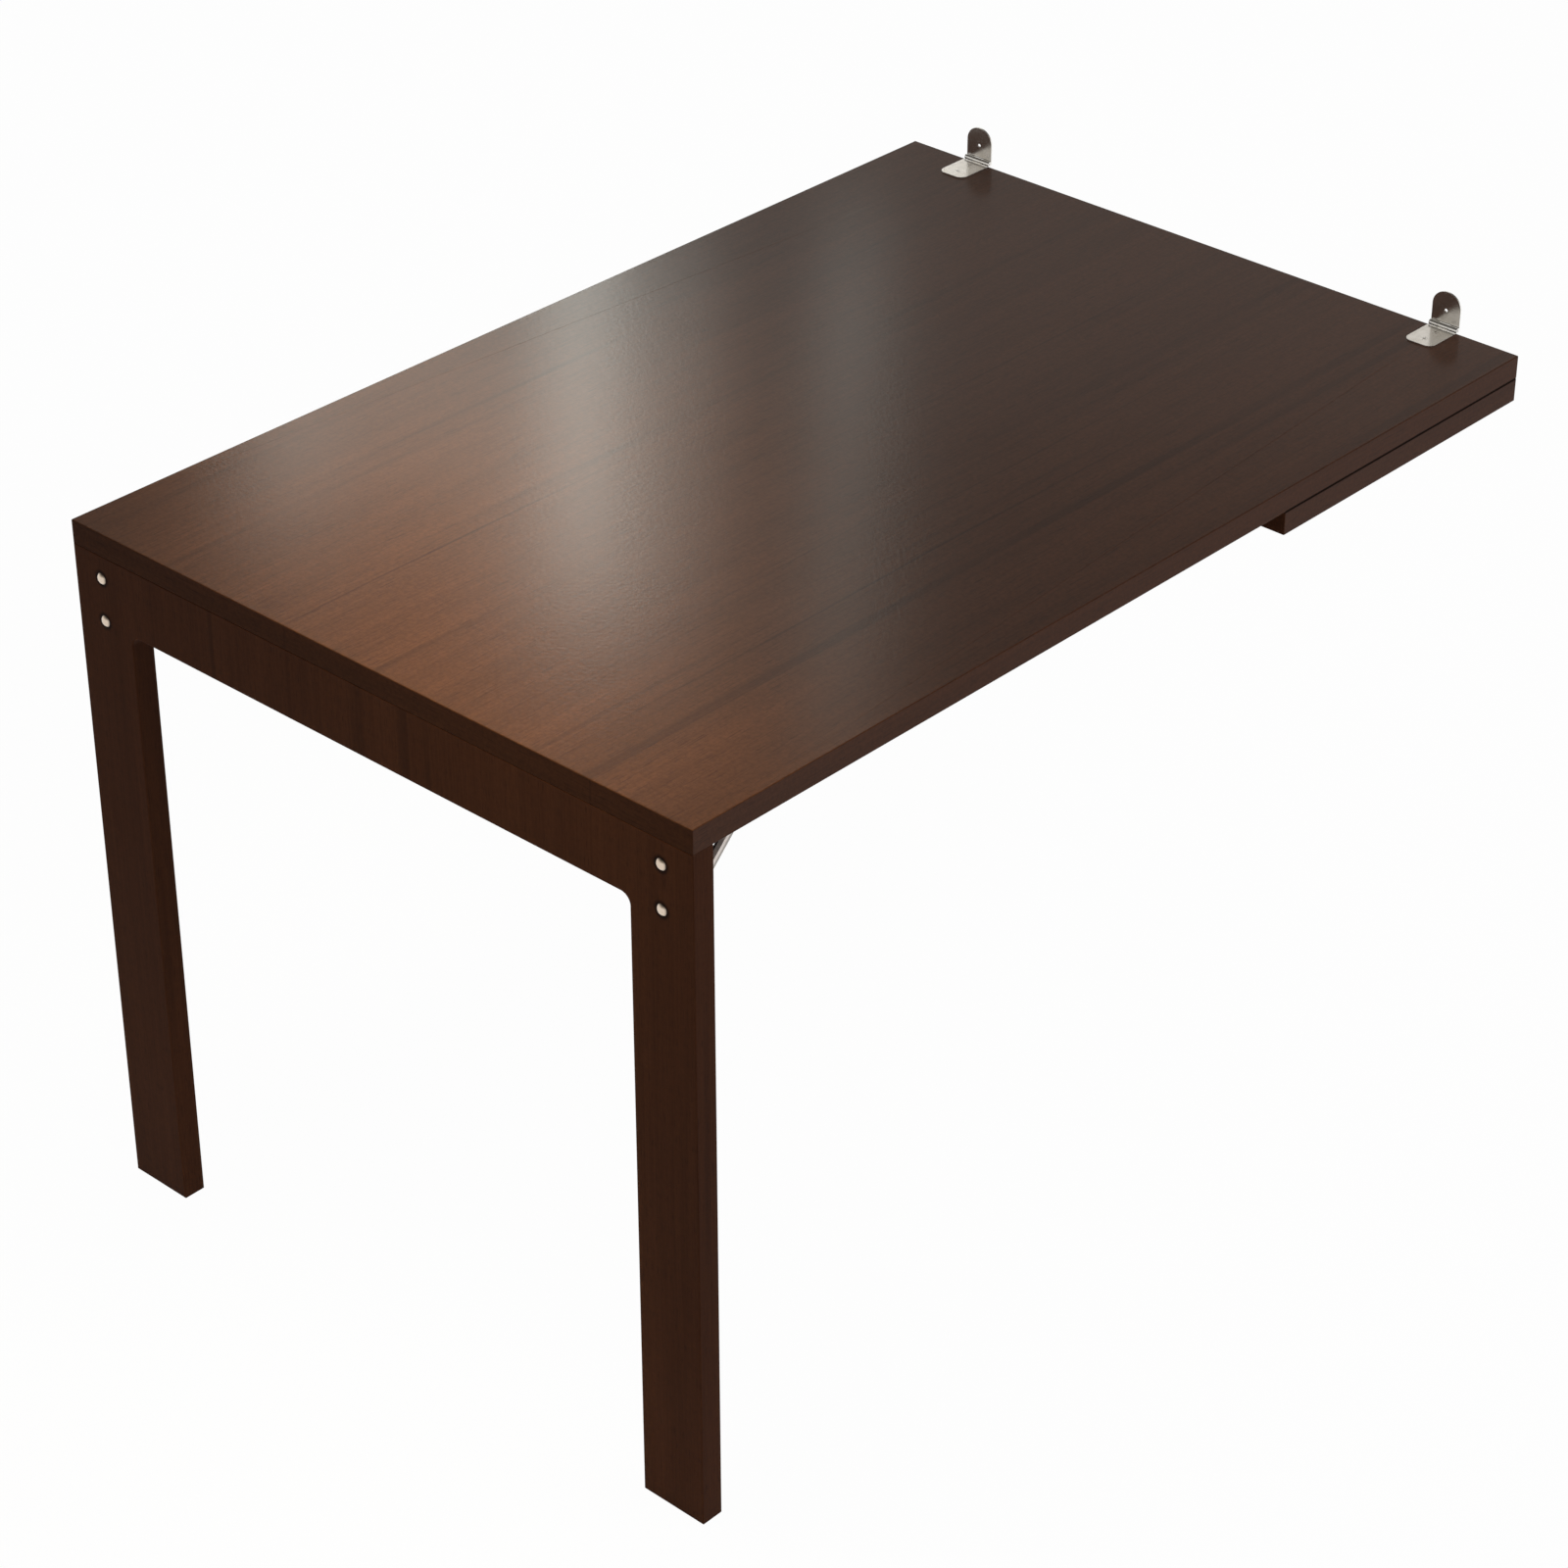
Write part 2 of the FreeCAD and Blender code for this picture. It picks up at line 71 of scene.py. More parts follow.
def times(tree, first, second):
    return maths(tree, "MULTIPLY", first, second)


def over(tree, first, second):
    return maths(tree, "DIVIDE", first, second)


def absolute(tree, value):
    return maths(tree, "ABSOLUTE", value)


def fadeOut(tree, away, reach):  # 1 in the middle, 0 from the reach on
    return maths(tree, "SUBTRACT", 1.0, over(tree, away, reach), clamp=True)


def vectorMaths(tree, operation, values):
    return addNode(tree, "ShaderNodeVectorMath", values, operation=operation).outputs


def axesOf(tree, vector):
    return addNode(tree, "ShaderNodeSeparateXYZ", {0: vector}).outputs


def moved(tree, vector, offset, turn):
    values = {"Vector": vector, "Location": offset, "Rotation": turn}
    return addNode(tree, "ShaderNodeMapping", values).outputs[0]


def remap(tree, value, fromMin, fromMax, toMin=0.0, toMax=1.0, smooth=True):
    kind = "SMOOTHSTEP" if smooth else "LINEAR"
    values = {"Value": value, "From Min": fromMin, "From Max": fromMax, "To Min": toMin, "To Max": toMax}
    return addNode(tree, "ShaderNodeMapRange", values, interpolation_type=kind).outputs[0]


def mixColors(tree, factor, first, second):
    values = {0: factor, 6: first, 7: second}  # the color sockets of the node
    return addNode(tree, "ShaderNodeMix", values, data_type="RGBA").outputs[2]


def mixVectors(tree, factor, first, second):
    values = {0: factor, 4: first, 5: second}  # the vector sockets of the node
    return addNode(tree, "ShaderNodeMix", values, data_type="VECTOR").outputs[1]


def paint(tree, color, mask, share, paintColor):
    return mixColors(tree, times(tree, mask, share), color, paintColor)


def bump(tree, height, **more):  # height in millimetres
    values = {"Strength": 1.0, "Distance": millimetre, "Height": height, **more}
    return addNode(tree, "ShaderNodeBump", values).outputs[0]


noiseMiddle = 0.5  # mean value of the noise texture


def noise(tree, vector, layer):
    squeeze = (layer.get("across", 1.0), layer.get("along", 1.0), 1.0)
    if squeeze != (1.0, 1.0, 1.0):
        vector = vectorMaths(tree, "MULTIPLY", {0: vector, 1: squeeze})["Vector"]
    values = {"Vector": vector, "Scale": layer["scale"], "Detail": layer["detail"],
              "Roughness": layer.get("roughness", 0.5), "Distortion": layer.get("distortion", 0.0)}
    return addNode(tree, "ShaderNodeTexNoise", values).outputs[0]


def noiseMask(tree, vector, layer, smooth=True):
    return remap(tree, noise(tree, vector, layer), *layer["range"], smooth=smooth)


def newGroup(name, inputs, outputs):
    tree = bpy.data.node_groups.new(name, "ShaderNodeTree")
    for direction, sockets in (("INPUT", inputs), ("OUTPUT", outputs)):
        for socketName, kind in sockets.items():
            tree.interface.new_socket(
                name=socketName, in_out=direction, socket_type="NodeSocket" + kind)
    start = tree.nodes.new("NodeGroupInput")
    end = tree.nodes.new("NodeGroupOutput")
    return tree, start.outputs, end.inputs


def placeGroup(tree, group, values):
    return addNode(tree, "ShaderNodeGroup", values, node_tree=group).outputs


def emptyTree(holder):
    holder.use_nodes = True
    holder.node_tree.nodes.clear()
    return holder.node_tree


def newMaterial(name, shaderValues):
    material = bpy.data.materials.new(name)
    tree = emptyTree(material)
    shader = addNode(tree, "ShaderNodeBsdfPrincipled", shaderValues)
    addNode(tree, "ShaderNodeOutputMaterial", {"Surface": shader.outputs[0]})
    return material, tree, shader.inputs


def dress(material, nodeNames):
    for name in nodeNames:
        data = nodes[name].data
        data.materials.clear()
        data.materials.append(material)


# shared effects: a noise layer is stretched where "along" or "across" is under 1

directionLook = {"endFacing": 0.72}  # how squarely a face has to meet the grain to show its end


def buildGrainDirection(look):
    tree, given, made = newGroup(
        "grainDirection",
        {"Face Vector": "Vector", "End Vector": "Vector", "Normal": "Vector", "Grain Axis": "Vector"},
        {"Vector": "Vector", "End Mask": "Float"})
    facing = vectorMaths(tree, "DOT_PRODUCT", {0: given["Normal"], 1: given["Grain Axis"]})["Value"]
    isEnd = maths(tree, "GREATER_THAN", absolute(tree, facing), look["endFacing"])
    vector = mixVectors(tree, isEnd, given["Face Vector"], given["End Vector"])
    link(tree, made, {"Vector": vector, "End Mask": isEnd})
    return tree


grainLook = {
    "wander": dict(along=0.6, scale=2.2, detail=2.0),
    "bands": dict(along=0.05, scale=24.0, detail=2.0, weight=0.36),
    "ribbons": dict(along=0.025, scale=90.0, detail=3.0, roughness=0.55, weight=0.30),
    "fibre": dict(along=0.015, scale=420.0, detail=4.0, roughness=0.65, weight=0.39),
    "darkness": (0.365, 0.705),  # weighted sum where the light wood ends and the dark wood is full
    "thinLines": dict(along=0.006, scale=60.0, detail=0.0, range=(0.66, 0.76)),
    "brokenUp": dict(along=0.12, scale=14.0, detail=2.0, range=(0.42, 0.62)),
    "pores": dict(along=0.04, scale=1300.0, detail=0.0, range=(0.66, 0.74)),
    "poreShade": 0.40,
    "mottle": dict(scale=260.0, detail=3.0, roughness=0.7, range=(0.35, 0.65))}


def buildWalnutGrain(look):
    tree, given, made = newGroup(
        "walnutGrain",
        {"Vector": "Vector", "Light Wood": "Color", "Dark Wood": "Color", "Streak Wood": "Color",
         "Figure Size": "Float", "Wander": "Float", "Streak Amount": "Float", "Mottle": "Float"},
        {"Color": "Color", "Fibre": "Float", "Pores": "Float"})
    sized = vectorMaths(tree, "SCALE", {0: given["Vector"], "Scale": given["Figure Size"]})["Vector"]
    # the grain wanders slowly across the board
    wander = minus(tree, noise(tree, sized, look["wander"]), noiseMiddle)
    sideStep = addNode(tree, "ShaderNodeCombineXYZ", {0: times(tree, wander, given["Wander"])}).outputs[0]
    bent = vectorMaths(tree, "ADD", {0: sized, 1: sideStep})["Vector"]
    bands = noise(tree, bent, look["bands"])
    ribbons = noise(tree, bent, look["ribbons"])
    fibre = noise(tree, bent, look["fibre"])
    shade = times(tree, bands, look["bands"]["weight"])
    shade = plus(tree, shade, times(tree, ribbons, look["ribbons"]["weight"]))
    shade = plus(tree, shade, times(tree, fibre, look["fibre"]["weight"]))
    darkness = remap(tree, shade, *look["darkness"], smooth=False)
    streaks = times(tree, noiseMask(tree, bent, look["thinLines"]), noiseMask(tree, bent, look["brokenUp"]))
    pores = noiseMask(tree, bent, look["pores"])
    mottle = noiseMask(tree, given["Vector"], look["mottle"], smooth=False)
    color = mixColors(tree, darkness, given["Light Wood"], given["Dark Wood"])
    color = paint(tree, color, streaks, given["Streak Amount"], given["Streak Wood"])
    color = paint(tree, color, pores, look["poreShade"], given["Streak Wood"])
    color = paint(tree, color, mottle, given["Mottle"], given["Streak Wood"])
    link(tree, made, {"Color": color, "Fibre": fibre, "Pores": pores})
    return tree


lineLook = {
    "wobble": dict(across=0.3, scale=3.0, detail=2.0, swing=0.012),  # swing in metres
    "ragged": dict(along=0.08, scale=160.0, detail=3.0, roughness=0.6, gain=2.6),
    "fadePower": 0.6}


def buildGrainLine(look):
    tree, given, made = newGroup(
        "grainLine",
        {"Vector": "Vector", "Place": "Float", "Width": "Float", "Middle": "Float", "Reach": "Float"},
        {"Mask": "Float"})
    parts = axesOf(tree, given["Vector"])
    wobble = minus(tree, noise(tree, given["Vector"], look["wobble"]), noiseMiddle)
    across = plus(tree, parts["X"], times(tree, wobble, look["wobble"]["swing"]))
    across = absolute(tree, minus(tree, across, given["Place"]))
    ragged = times(tree, noise(tree, given["Vector"], look["ragged"]), look["ragged"]["gain"])
    line = fadeOut(tree, across, times(tree, given["Width"], ragged))
    along = absolute(tree, minus(tree, parts["Y"], given["Middle"]))
    fade = maths(tree, "POWER", fadeOut(tree, along, given["Reach"]), look["fadePower"])
    link(tree, made, {"Mask": times(tree, line, fade)})
    return tree


edgeLightLook = {
    "samples": 6,
    "turned": (0.995, 0.85),  # how far the rounded normal has turned at the start and at the full edge
    "brokenUp": dict(detail=3.0, range=(0.3, 0.6, 0.35, 1.0))}


# painted highlight: a mask of the rounded edges, broken up by noise, along which the colour is lightened;
# the bevel also gives the rounded normal
def buildRoundedEdgeLight(look):
    tree, given, made = newGroup(
        "roundedEdgeLight",
        {"Vector": "Vector", "Radius": "Float", "Breakup": "Float"},
        {"Mask": "Float", "Normal": "Vector"})
    flat = addNode(tree, "ShaderNodeNewGeometry").outputs["Normal"]
    bevel = addNode(tree, "ShaderNodeBevel", {"Radius": given["Radius"]}, samples=look["samples"])
    rounded = bevel.outputs[0]
    turn = vectorMaths(tree, "DOT_PRODUCT", {0: rounded, 1: flat})["Value"]
    edge = remap(tree, turn, *look["turned"])
    brokenUp = noiseMask(tree, given["Vector"], dict(look["brokenUp"], scale=given["Breakup"]))
    link(tree, made, {"Mask": times(tree, edge, brokenUp), "Normal": rounded})
    return tree


marksLook = {
    "smudge": dict(detail=4.0, roughness=0.6, distortion=0.6, range=(0.35, 0.72)),
    "scratch": dict(along=0.05, detail=3.0, roughness=0.7, distortion=1.5, range=(0.012, 0.0))}


def buildHandlingMarks(look):
    tree, given, made = newGroup(
        "handlingMarks",
        {"Vector": "Vector", "Smudge Size": "Float", "Scratch Size": "Float"},
        {"Smudge": "Float", "Scratch": "Float"})
    smudge = noiseMask(tree, given["Vector"], dict(look["smudge"], scale=given["Smudge Size"]))
    scratch = noise(tree, given["Vector"], dict(look["scratch"], scale=given["Scratch Size"]))
    scratch = absolute(tree, minus(tree, scratch, noiseMiddle))
    scratch = remap(tree, scratch, *look["scratch"]["range"])
    link(tree, made, {"Smudge": smudge, "Scratch": scratch})
    return tree


drawnLook = {
    "lines": dict(along=0.03, detail=3.0, roughness=0.6, range=(0.45, 0.75)),
    "cloud": dict(scale=45.0, detail=3.0, roughness=0.6, distortion=0.3, range=(0.3, 0.7)),
    "lineShade": 0.14, "lineColor": (0.30, 0.29, 0.28, 1.0)}


def buildDrawnSteel(look):
    tree, given, made = newGroup(
        "drawnSteel",
        {"Vector": "Vector", "Base": "Color", "Tint": "Color", "Line Size": "Float"},
        {"Color": "Color", "Lines": "Float"})
    lines = noise(tree, given["Vector"], dict(look["lines"], scale=given["Line Size"]))
    dark = remap(tree, lines, *look["lines"]["range"])
    color = mixColors(tree, noiseMask(tree, given["Vector"], look["cloud"]), given["Base"], given["Tint"])
    color = paint(tree, color, dark, look["lineShade"], look["lineColor"])
    link(tree, made, {"Color": color, "Lines": lines})
    return tree


jointLook = {"lineFade": (1.0, 0.4), "uprightFacing": (0.99, 0.9)}


# painted shadow: a thin dark line on the upright faces at the height where two boards meet
def buildJointShadow(look):
    tree, given, made = newGroup(
        "jointShadow",
        {"Vector": "Vector", "Normal": "Vector", "Height": "Float", "Start": "Float", "Reach": "Float"},
        {"Mask": "Float"})
    parts = axesOf(tree, given["Vector"])
    away = absolute(tree, minus(tree, parts["Z"], given["Height"]))
    line = remap(tree, over(tree, away, given["Reach"]), *look["lineFade"])
    level = absolute(tree, axesOf(tree, given["Normal"])["Z"])
    upright = remap(tree, level, *look["uprightFacing"])
    beyond = maths(tree, "GREATER_THAN", parts["Y"], given["Start"])
    link(tree, made, {"Mask": times(tree, line, times(tree, upright, beyond))})
    return tree


ringLook = {"ringFade": (1.0, 0.0), "ragged": dict(scale=500.0, detail=3.0, range=(0.2, 0.6, 0.6, 1.0))}


# painted shadow: a dark ragged ring on the wood around each bolt head
def buildBoltRingShadow(look):
    tree, given, made = newGroup(
        "boltRingShadow",
        {"Vector": "Vector", "Across": "Float", "Height": "Float", "Head Radius": "Float",
         "Reach": "Float"},
        {"Mask": "Float"})
    parts = axesOf(tree, given["Vector"])
    across = minus(tree, absolute(tree, parts["X"]), given["Across"])
    rise = minus(tree, parts["Z"], given["Height"])
    away = maths(tree, "SQRT", plus(tree, times(tree, across, across), times(tree, rise, rise)))
    beyond = over(tree, minus(tree, away, given["Head Radius"]), given["Reach"])
    ring = remap(tree, beyond, *look["ringFade"])
    ragged = noiseMask(tree, given["Vector"], look["ragged"])
    link(tree, made, {"Mask": times(tree, ring, ragged)})
    return tree


grainDirection = buildGrainDirection(directionLook)
walnutGrain = buildWalnutGrain(grainLook)
grainLine = buildGrainLine(lineLook)
roundedEdgeLight = buildRoundedEdgeLight(edgeLightLook)
handlingMarks = buildHandlingMarks(marksLook)
drawnSteel = buildDrawnSteel(drawnLook)
jointShadow = buildJointShadow(jointLook)
boltRingShadow = buildBoltRingShadow(ringLook)
print("shared effects built")


# walnut boards

def walnutMaterial(name, look):
    material, tree, shader = newMaterial(name, {
        "IOR": look["ior"], "Specular IOR Level": look["specular"],
        "Coat Roughness": look["coatRoughness"], "Coat IOR": look["ior"]})
    coordinates = addNode(tree, "ShaderNodeTexCoord").outputs
    position = coordinates["Object"]
    normal = coordinates["Normal"]
    direction = placeGroup(tree, grainDirection, {
        "Face Vector": moved(tree, position, look["offset"], look["faceTurn"]),
        "End Vector": moved(tree, position, look["offset"], look["endTurn"]),
        "Normal": normal, "Grain Axis": look["grainAxis"]})
    grain = placeGroup(tree, walnutGrain, {
        "Vector": direction["Vector"], "Light Wood": look["lightWood"], "Dark Wood": look["darkWood"],
        "Streak Wood": look["streakWood"], "Figure Size": look["figureSize"],
        "Wander": look["wander"], "Streak Amount": look["streakAmount"], "Mottle": look["mottle"]})
    marks = placeGroup(tree, handlingMarks, {"Vector": position, "Smudge Size": look["smudgeSize"]})
    roundedEdge = placeGroup(tree, roundedEdgeLight, {
        "Vector": position, "Radius": look["edgeRadius"], "Breakup": look["edgeLightBreakup"]})
    facing = axesOf(tree, normal)
    onTop = remap(tree, facing["Z"], *look["topFacing"])
    onSide = remap(tree, absolute(tree, facing["X"]), *look["sideFacing"])
    color = grain["Color"]
    for across, width, along, reach, depth in look["darkLines"]:
        line = placeGroup(tree, grainLine, {
            "Vector": position, "Place": across, "Width": width, "Middle": along, "Reach": reach})
        color = paint(tree, color, line["Mask"], depth, look["streakWood"])
    color = paint(tree, color, direction["End Mask"], look["endShade"], look["streakWood"])
    # painted highlight: the wood is lightened along its rounded edges
    color = paint(tree, color, roundedEdge["Mask"], look["edgeLight"], look["edgeWood"])
    # painted shade: faces turned sideways are darkened
    color = paint(tree, color, onSide, look["paintedSideShade"], look["streakWood"])
    coat = times(tree, onTop, look["faceCoat"])
    coat = plus(tree, coat, times(tree, onSide, look["sideCoat"]))
    # painted shadow along the joint between tabletop and shelf; the coat is taken away there too
    for joint in look["joints"]:
        line = placeGroup(tree, jointShadow, {
            "Vector": position, "Normal": normal, "Height": joint["height"],
            "Start": joint["start"], "Reach": joint["reach"]})
        color = paint(tree, color, line["Mask"], joint["depth"], look["paintedShadow"])
        coat = times(tree, coat, minus(tree, 1.0, line["Mask"]))
    # painted shadow ring on the wood around each bolt head
    for ring in look["boltRings"]:
        mark = placeGroup(tree, boltRingShadow, {
            "Vector": position, "Across": ring["across"], "Height": ring["height"],
            "Head Radius": ring["headRadius"], "Reach": ring["reach"]})
        color = paint(tree, color, mark["Mask"], ring["depth"], look["paintedShadow"])
    roughness = plus(tree, look["roughness"], times(tree, marks["Smudge"], look["smudge"]))
    roughness = plus(tree, roughness, times(tree, grain["Fibre"], look["fibreRoughness"]))
    relief = times(tree, grain["Fibre"], look["fibreDepth"])
    relief = minus(tree, relief, times(tree, grain["Pores"], look["poreDepth"]))
    peel = times(tree, noise(tree, position, look["peel"]), look["peel"]["depth"])
    link(tree, shader, {
        "Base Color": color, "Roughness": roughness, "Coat Weight": coat,
        "Normal": bump(tree, relief), "Coat Normal": bump(tree, peel)})
    return material


# painted shadow line where the shelf meets the tabletop
shelfJoint = {
    "height": extent("wall_shelf", upward)[1], "start": extent("wall_shelf", wallward)[0],
    "reach": 0.0020, "depth": 0.9}
boltHeadRadius = 0.0060
lowestBolt, highestBolt = extent("leg_bolts", upward)
# painted shadow rings around the bolt heads on the leg frame
legBoltRings = [
    {"across": extent("leg_bolts", rightward)[1] - boltHeadRadius, "height": height,
     "headRadius": boltHeadRadius, "reach": 0.0050, "depth": 1.0}
    for height in (highestBolt - boltHeadRadius, lowestBolt + boltHeadRadius)]

tabletopLook = {
    "lightWood": (0.085, 0.0309, 0.0140, 1.0), "darkWood": (0.055, 0.0203, 0.0095, 1.0),
    "streakWood": (0.018, 0.0075, 0.0046, 1.0), "edgeWood": (0.085, 0.0309, 0.0140, 1.0),
    "paintedShadow": (0.006, 0.003, 0.002, 1.0), "ior": 1.5, "specular": 0.012, "roughness": 0.36,
    "coatRoughness": 0.17, "faceCoat": 0.37, "sideCoat": 0.16, "topFacing": (0.3, 0.9),
    "sideFacing": (0.5, 0.95), "offset": (0.0, 0.0, 0.0), "faceTurn": (0.0, 0.0, 0.0),
    "endTurn": (0.0, 0.0, quarterTurn), "grainAxis": wallward, "figureSize": 1.0, "wander": 0.010,
    "streakAmount": 0.36, "mottle": 0.32, "endShade": 0.15, "paintedSideShade": 0.0, "edgeLight": 0.4,
    "edgeRadius": 0.0009, "edgeLightBreakup": 25.0, "smudgeSize": 5.0, "smudge": 0.05,
    "fibreRoughness": 0.06, "fibreDepth": 0.02, "poreDepth": 0.02,
    "peel": dict(scale=240.0, detail=2.0, depth=0.06),
    "joints": [shelfJoint], "boltRings": [],
    # place across, width, middle along, reach along, depth of colour
    "darkLines": [(-0.105, 0.0016, -0.38, 0.26, 0.75), (0.030, 0.0012, 0.30, 0.40, 0.45),
                  (0.150, 0.0012, -0.20, 0.50, 0.35), (0.178, 0.0014, 0.12, 0.30, 0.45),
                  (0.232, 0.0018, -0.15, 0.45, 0.70), (0.280, 0.0012, -0.45, 0.30, 0.50)]}
shelfLook = dict(
    tabletopLook, offset=(3.1, 1.7, 0.4), faceTurn=(0.0, 0.0, quarterTurn), endTurn=(0.0, 0.0, 0.0),
    grainAxis=rightward, darkLines=[])
legFrameLook = dict(
    tabletopLook, lightWood=(0.088, 0.0312, 0.0142, 1.0), darkWood=(0.058, 0.0200, 0.0092, 1.0),
    edgeWood=(0.13, 0.058, 0.036, 1.0), faceCoat=0.0, sideCoat=0.02, offset=(5.3, 2.2, 1.9),
    faceTurn=(quarterTurn, 0.0, 0.0), endTurn=(0.0, 0.0, quarterTurn), grainAxis=upward,
    figureSize=1.1, mottle=0.16, paintedSideShade=0.16, edgeLight=0.7, joints=[], boltRings=legBoltRings,
    darkLines=[])

dress(walnutMaterial("walnutTabletop", tabletopLook), ["tabletop"])
dress(walnutMaterial("walnutShelf", shelfLook), ["wall_shelf"])
dress(walnutMaterial("walnutLegFrame", legFrameLook), ["leg_frame_panel"])
print("walnut boards dressed")


# steel fittings

def steelMaterial(name, look):
    material, tree, shader = newMaterial(name, {"Metallic": look["metallic"]})
    coordinates = addNode(tree, "ShaderNodeTexCoord").outputs
    position = coordinates["Object"]
    steel = placeGroup(tree, drawnSteel, {
        "Vector": position, "Base": look["base"], "Tint": look["tint"], "Line Size": look["lineSize"]})
    marks = placeGroup(tree, handlingMarks, {
        "Vector": position, "Smudge Size": look["smudgeSize"], "Scratch Size": look["scratchSize"]})
    roundedEdge = placeGroup(tree, roundedEdgeLight, {
        "Vector": position, "Radius": look["edgeRadius"], "Breakup": look["edgeLightBreakup"]})
    parts = axesOf(tree, position)
    facing = axesOf(tree, coordinates["Normal"])
    # painted highlight: the steel is lightened along its rounded edges
    color = paint(tree, steel["Color"], roundedEdge["Mask"], look["edgeLight"], look["edgeColor"])
    # painted shade: the steep outer part of a domed head is darkened to a near-black rim
    if "rim" in look:  # steep outer part of a domed head
        rim = look["rim"]
        steep = remap(tree, absolute(tree, facing["Y"]), *rim["facing"])
        color = paint(tree, color, steep, rim["shade"], rim["color"])
    # painted shade: the broad sides of the bar are darkened below its middle line
    if "lowerHalf" in look:  # broad sides of a slanting bar, below its middle line
        half = look["lowerHalf"]
        onSide = remap(tree, absolute(tree, facing["X"]), *half["sideFacing"])
        above = minus(tree, minus(tree, parts["Z"], parts["Y"]), half["line"])
        below = remap(tree, above, *half["fade"])
        color = paint(tree, color, times(tree, onSide, below), half["shade"], half["color"])
    # painted shade: the part of the bar nearer to the middle of the table is darkened to near black
    if "innerSide" in look:  # the part of a bar that lies nearer to the middle of the table
        side = look["innerSide"]
        outward = minus(tree, absolute(tree, parts["X"]), side["line"])
        color = paint(tree, color, remap(tree, outward, *side["fade"]), side["shade"], side["color"])
    roughness = plus(tree, look["roughness"], times(tree, marks["Smudge"], look["smudge"]))
    roughness = plus(tree, roughness, times(tree, steel["Lines"], look["lineRoughness"]))
    roughness = plus(tree, roughness, times(tree, marks["Scratch"], look["scratch"]))
    relief = times(tree, steel["Lines"], look["lineDepth"])
    relief = minus(tree, relief, times(tree, marks["Scratch"], look["scratchDepth"]))
    link(tree, shader, {
        "Base Color": color, "Roughness": roughness,
        "Normal": bump(tree, relief, Normal=roundedEdge["Normal"])})
    return material


hingeLook = {
    "metallic": 1.0, "roughness": 0.16, "base": (0.93, 0.91, 0.88, 1.0), "tint": (0.86, 0.83, 0.78, 1.0),
    "edgeColor": (1.0, 0.99, 0.97, 1.0), "edgeLight": 0.5, "edgeRadius": 0.0004, "edgeLightBreakup": 220.0,
    "smudgeSize": 90.0, "smudge": 0.05, "scratchSize": 160.0, "scratch": 0.05, "scratchDepth": 0.001,
    "lineSize": 700.0, "lineRoughness": 0.02, "lineDepth": 0.0006}
bracketLook = {
    "metallic": 1.0, "roughness": 0.27, "base": (0.60, 0.58, 0.56, 1.0), "tint": (0.54, 0.52, 0.49, 1.0),
    "edgeColor": (0.80, 0.78, 0.75, 1.0), "edgeLight": 0.6, "edgeRadius": 0.0004, "edgeLightBreakup": 220.0,
    "smudgeSize": 60.0, "smudge": 0.10, "scratchSize": 120.0, "scratch": 0.08, "scratchDepth": 0.004,
    "lineSize": 1100.0, "lineRoughness": 0.10, "lineDepth": 0.006}
# painted shade on the stay: its lower half and its inner side are darkened
stayLook = dict(
    bracketLook, metallic=0.35, roughness=0.34, base=(0.93, 0.85, 0.80, 1.0), tint=(0.88, 0.80, 0.75, 1.0),
    lowerHalf={"line": middle("leg_stay_right", acrossStay), "fade": (0.0004, -0.0014),
               "sideFacing": (0.5, 0.9), "shade": 0.9, "color": (0.44, 0.41, 0.38, 1.0)},
    innerSide={"line": middle("leg_stay_right", rightward), "fade": (-0.0007, -0.0013),
               "shade": 0.95, "color": (0.012, 0.009, 0.007, 1.0)})
boltLook = {
    "metallic": 1.0, "roughness": 0.17, "base": (0.72, 0.60, 0.49, 1.0), "tint": (0.66, 0.54, 0.43, 1.0),
    "edgeColor": (0.82, 0.74, 0.66, 1.0), "edgeLight": 0.4, "edgeRadius": 0.0003, "edgeLightBreakup": 220.0,
    "smudgeSize": 240.0, "smudge": 0.06, "scratchSize": 400.0, "scratch": 0.06, "scratchDepth": 0.002,
    "lineSize": 1500.0, "lineRoughness": 0.03, "lineDepth": 0.001,
    "rim": {"facing": (0.82, 0.66), "shade": 0.9, "color": (0.035, 0.022, 0.016, 1.0)}}


def bothSides(*stems):
    return [stem + side for stem in stems for side in ("left", "right")]


dress(steelMaterial("polishedHingeSteel", hingeLook),
      bothSides("wall_hinge_leaf_", "table_hinge_leaf_", "wall_hinge_pin_") + ["table_hinge_screws"])
dress(steelMaterial("zincBracketSteel", bracketLook),
      bothSides("shelf_bracket_", "leg_channel_", "leg_track_", "leg_pivot_pin_", "leg_stay_pin_",
                "leg_stay_stud_") + ["leg_track_screws", "shelf_bracket_screws", "leg_bolt_nuts"])
dress(steelMaterial("satinStaySteel", stayLook), bothSides("leg_stay_"))
dress(steelMaterial("nickelBoltSteel", boltLook), ["leg_bolts"])
print("steel fittings dressed")


# floor and world: what is seen directly or mirrored differs from what lights the table

def seenShare(tree):
    path = addNode(tree, "ShaderNodeLightPath").outputs
    seen = maths(tree, "MAXIMUM", path["Is Camera Ray"], path["Is Glossy Ray"])
    return maths(tree, "MAXIMUM", seen, path["Is Transmission Ray"])


floorLook = {"size": 60.0, "color": (0.90, 0.90, 0.90, 1.0), "glow": (1.0, 1.0, 1.0, 1.0),
             "glowShare": 0.975}


